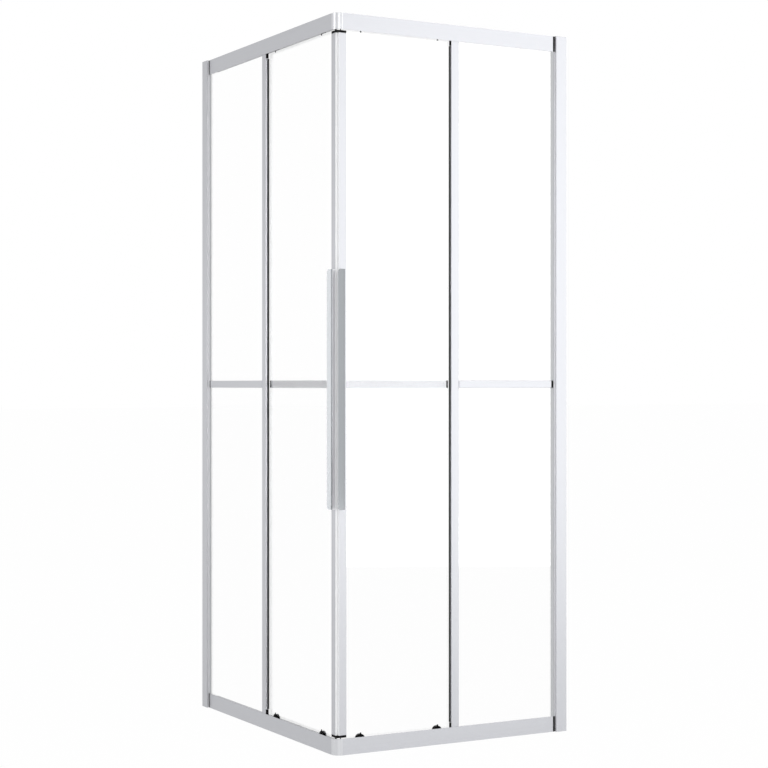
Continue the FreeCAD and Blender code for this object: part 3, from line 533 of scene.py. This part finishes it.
class ENCLOSURE_OT_handles(bpy.types.Operator):
    """Hooked pull handles"""

    bl_idname = "enclosure.handles"
    bl_label = "Handles"

    def execute(self, context):
        edge = context.scene.enclosure_sizes.profile_edge
        for side in SIDES:
            node = "handle_" + side
            pull = fit(finished_copy(node, node + "_pull", edge, HANDLE_EDGE_STEPS), node, "handle")
            # Faces not turned outward take the pale colour as painted light, which lightens the shade in the
            # hook's recess.
            pull.data.materials.append(MATERIALS["pale_aluminium"])
            outward = Vector((0, -1, 0)) if side == "right" else Vector((-1, 0, 0))
            for face in pull.data.polygons:
                face.material_index = 0 if face.normal.dot(outward) > LIP_FACING_SHARE else 1
        return {"FINISHED"}


class ENCLOSURE_OT_panes(bpy.types.Operator):
    """Glass panes with ground edges"""

    bl_idname = "enclosure.panes"
    bl_label = "Panes"

    def execute(self, context):
        edge = context.scene.enclosure_sizes.glass_edge
        for side in SIDES:
            for node in ("fixed_glass_" + side, "door_glass_" + side):
                pane = finished_copy(node, node + "_pane", edge, GROUND_EDGE_STEPS)
                bpy.ops.object.mode_set(mode="EDIT")
                bpy.ops.mesh.select_all(action="SELECT")
                bpy.ops.transform.shrink_fatten(value=-GLASS_AIR, use_even_offset=True)
                bpy.ops.object.mode_set(mode="OBJECT")
                fit(pane, node, "glass")
        return {"FINISHED"}


class ENCLOSURE_OT_seals(bpy.types.Operator):
    """Seals, gaskets, stops and clips"""

    bl_idname = "enclosure.seals"
    bl_label = "Seals"

    def execute(self, context):
        edge = context.scene.enclosure_sizes.thin_edge
        for side in SIDES:
            seal = "stile_seal_" + side
            fit(finished_copy(seal, seal + "_lip", edge), seal, "rubber")
            magnet = "magnet_seal_" + side
            fit(finished_copy(magnet, magnet + "_strip", edge), magnet, "magnet")
            clip = "rear_profile_" + side
            fit(finished_copy(clip, clip + "_strip", edge), clip, "grey_seal")
        fit(finished_copy("glazing_gaskets", "glazing_gasket_strips", edge), "glazing_gaskets", "grey_seal")
        fit(finished_copy("track_stops", "track_stop_blocks", edge), "track_stops", "rubber")
        return {"FINISHED"}


class ENCLOSURE_OT_caps(bpy.types.Operator):
    """Black end caps and feet"""

    bl_idname = "enclosure.caps"
    bl_label = "Caps"

    def execute(self, context):
        edge = context.scene.enclosure_sizes.moulded_edge
        nodes = ["rail_end_caps", "stile_feet", "fixed_crossbar_caps"]
        nodes += ["door_caps_" + side for side in SIDES]
        for node in nodes:
            fit(finished_copy(node, node + "_moulded", edge), node, "plastic")
        return {"FINISHED"}


class ENCLOSURE_OT_rollers(bpy.types.Operator):
    """Roller housings, brackets, buttons and wheels"""

    bl_idname = "enclosure.rollers"
    bl_label = "Rollers"

    def execute(self, context):
        edge = context.scene.enclosure_sizes.moulded_edge
        thin = context.scene.enclosure_sizes.thin_edge
        for side in SIDES:
            for node in ("bottom_housings_" + side, "top_brackets_" + side):
                fit(finished_copy(node, node + "_moulded", edge), node, "plastic")
            for end in ENDS:
                button = "release_button_%s_%s" % (side, end)
                fit(finished_copy(button, button + "_moulded", thin), button, "plastic")
                for level in ("top", "bottom"):
                    wheel = "%s_wheel_%s_%s" % (level, side, end)
                    turned = recess_ends(finished_copy(wheel, wheel + "_turned", edge), across(side))
                    fit(turned, wheel, "acetal")
        return {"FINISHED"}


class ENCLOSURE_OT_screws(bpy.types.Operator):
    """Screws"""

    bl_idname = "enclosure.screws"
    bl_label = "Screws"

    def execute(self, context):
        edge = context.scene.enclosure_sizes.thin_edge
        nodes = ["post_screws", "corner_screws"]
        for side in SIDES:
            nodes += ["handle_screws_" + side, "clamp_screws_" + side]
        for node in nodes:
            fit(cut_sockets(finished_copy(node, node + "_steel", edge)), node, "steel")
        return {"FINISHED"}


# Stage

FLOOR_SIZE = 120.0
FLOOR_DROP = 0.5 * MM
FLOOR_WHITE_SHARE = 0.985
WORLD_LIGHT = 0.55

# Lamps: name, place, width, height and power. The key is a broad, weak sheet that the front faces mirror
# from end to end, more so near the top. The front fill reaches into the grooves between the stiles and the
# posts, the low fill brightens the bottom rails, and the rim sheet stands where the left handle's lip
# mirrors it towards the camera.
LAMP_TARGET = Vector((-0.25, -0.3, 0.95))
LAMPS = (
    ("key_softbox", Vector((2.75, -4.4, 1.8)), 3.0, 3.9, 63.0),
    ("left_softbox", Vector((-3.9, -0.45, 1.35)), 1.3, 2.4, 22.0),
    ("front_fill", Vector((-1.8, -4.4, 1.3)), 2.2, 1.4, 68.0),
    ("low_fill", Vector((1.7, -4.3, 0.13)), 2.6, 0.24, 6.5),
    ("rim_softbox", Vector((-2.842, 2.757, 0.9)), 0.24, 1.3, 4.9),
)


def white_share(material):
    """1 for rays from the camera, a mirror or through glass, which then see plain white."""
    path = add(material, "ShaderNodeLightPath")
    first = add(material, "ShaderNodeMath", {"operation": "MAXIMUM"})
    material.node_tree.links.new(path.outputs["Is Camera Ray"], first.inputs[0])
    material.node_tree.links.new(path.outputs["Is Glossy Ray"], first.inputs[1])
    both = add(material, "ShaderNodeMath", {"operation": "MAXIMUM"})
    material.node_tree.links.new(first.outputs[0], both.inputs[0])
    material.node_tree.links.new(path.outputs["Is Transmission Ray"], both.inputs[1])
    return both.outputs[0]


class ENCLOSURE_OT_stage(bpy.types.Operator):
    """Floor, white surroundings, lamps and camera"""

    bl_idname = "enclosure.stage"
    bl_label = "Stage"

    def floor(self):
        bpy.ops.mesh.primitive_plane_add(size=FLOOR_SIZE, location=(0, 0, -FLOOR_DROP))
        floor = bpy.context.active_object
        floor.name = "studio_floor"
        material = new_material("pale_studio_floor")
        matt = add(material, "ShaderNodeBsdfDiffuse", {"Color": linear("#F4F4F5")})
        glow = add(material, "ShaderNodeEmission", {"Color": linear("#FFFFFF"), "Strength": 1.0})
        share = add(material, "ShaderNodeMath", {"operation": "MULTIPLY"})
        material.node_tree.links.new(white_share(material), share.inputs[0])
        share.inputs[1].default_value = FLOOR_WHITE_SHARE
        mixed = add(material, "ShaderNodeMixShader")
        material.node_tree.links.new(share.outputs[0], mixed.inputs[0])
        material.node_tree.links.new(matt.outputs[0], mixed.inputs[1])
        material.node_tree.links.new(glow.outputs[0], mixed.inputs[2])
        close(material, mixed)
        floor.data.materials.append(material)

    def surroundings(self):
        world = bpy.data.worlds.new("studio")
        bpy.context.scene.world = world
        world.use_nodes = True
        world.node_tree.nodes.clear()
        level = add(world, "ShaderNodeMapRange", {"To Min": WORLD_LIGHT, "To Max": 1.0},
                    {"Value": white_share(world)})
        air = add(world, "ShaderNodeBackground", {"Color": linear("#FFFFFF")}, {"Strength": level.outputs[0]})
        add(world, "ShaderNodeOutputWorld", links={"Surface": air.outputs[0]})

    def lamp(self, name, place, width, height, power):
        bpy.ops.object.light_add(type="AREA", location=place)
        lamp = bpy.context.active_object
        lamp.name = name
        lamp.rotation_euler = (LAMP_TARGET - place).to_track_quat("-Z", "Y").to_euler()
        lamp.data.shape = "RECTANGLE"
        lamp.data.size = width
        lamp.data.size_y = height
        lamp.data.energy = power

    def camera(self):
        bpy.ops.object.camera_add(location=CAMERA_PLACE, rotation=CAMERA_TURN)
        camera = bpy.context.active_object
        camera.data.lens = CAMERA_LENS
        camera.data.sensor_width = CAMERA_SENSOR
        camera.data.shift_x = CAMERA_SHIFT_X
        bpy.context.scene.camera = camera

    def execute(self, context):
        self.floor()
        self.surroundings()
        for name, place, width, height, power in LAMPS:
            self.lamp(name, place, width, height, power)
        self.camera()
        context.scene.view_settings.view_transform = "Standard"
        return {"FINISHED"}


OPERATORS = (
    ENCLOSURE_OT_stage,
    ENCLOSURE_OT_profiles,
    ENCLOSURE_OT_corners,
    ENCLOSURE_OT_handles,
    ENCLOSURE_OT_panes,
    ENCLOSURE_OT_seals,
    ENCLOSURE_OT_caps,
    ENCLOSURE_OT_rollers,
    ENCLOSURE_OT_screws,
)


class ENCLOSURE_PT_panel(bpy.types.Panel):
    """Lists the sizes, colours and steps"""

    bl_idname = "ENCLOSURE_PT_panel"
    bl_label = "Shower enclosure"
    bl_space_type = "VIEW_3D"
    bl_region_type = "UI"
    bl_category = "Enclosure"

    def draw(self, context):
        for group in (context.scene.enclosure_sizes, context.scene.enclosure_colours):
            for name in group.__annotations__:
                self.layout.prop(group, name)
        for operator in OPERATORS:
            self.layout.operator(operator.bl_idname)


CLASSES = (EnclosureSizes, EnclosureColours) + OPERATORS + (ENCLOSURE_PT_panel,)


def register():
    """Registers the classes and hangs the settings on the scene."""
    for cls in CLASSES:
        bpy.utils.register_class(cls)
    bpy.types.Scene.enclosure_sizes = bpy.props.PointerProperty(type=EnclosureSizes)
    bpy.types.Scene.enclosure_colours = bpy.props.PointerProperty(type=EnclosureColours)


def unregister():
    """Takes the settings and the classes away again."""
    del bpy.types.Scene.enclosure_colours
    del bpy.types.Scene.enclosure_sizes
    for cls in reversed(CLASSES):
        bpy.utils.unregister_class(cls)


def main():
    """Builds the finished enclosure."""
    register()
    make_materials(bpy.context.scene.enclosure_colours)
    bpy.ops.enclosure.stage()
    bpy.ops.enclosure.profiles()
    bpy.ops.enclosure.corners()
    bpy.ops.enclosure.handles()
    bpy.ops.enclosure.panes()
    bpy.ops.enclosure.seals()
    bpy.ops.enclosure.caps()
    bpy.ops.enclosure.rollers()
    bpy.ops.enclosure.screws()


if __name__ == "__main__":
    main()
